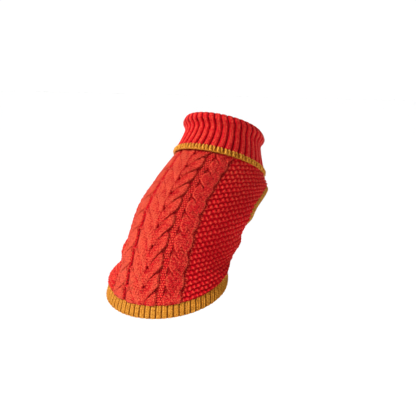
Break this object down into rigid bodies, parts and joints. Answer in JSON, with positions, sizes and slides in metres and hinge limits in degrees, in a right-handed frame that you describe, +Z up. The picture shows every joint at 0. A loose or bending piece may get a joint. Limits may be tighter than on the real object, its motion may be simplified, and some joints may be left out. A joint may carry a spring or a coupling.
{
  "type": "dog sweater",
  "caption": "Knitted roll-neck sweater for a small dog, held in its worn sitting form, with cabled back, ribbed collar and hem, open neck, leg holes and hem.",
  "frame": {"origin": "on the inner face of the back panel at the withers, where the cloth hangs from the wearer's shoulders", "axes": "+Y the way the wearer faces, +X its right side, +Z up; the wearer sits, so the back slopes down towards -Y"},
  "size_m": [0.1436, 0.2144, 0.209],
  "materials": {
    "red_knit": "matt brushed yarn, soft sheen at grazing angles",
    "mustard_knit": "matt brushed yarn, soft sheen at grazing angles"
  },
  "bodies": {
    "root": {"back_panel": "red_knit", "belly_panel": "red_knit", "collar": "red_knit", "collar_edge": "mustard_knit", "hem_rib": "mustard_knit", "leg_band_left": "mustard_knit", "leg_band_right": "mustard_knit"}
  },
  "joints": []
}
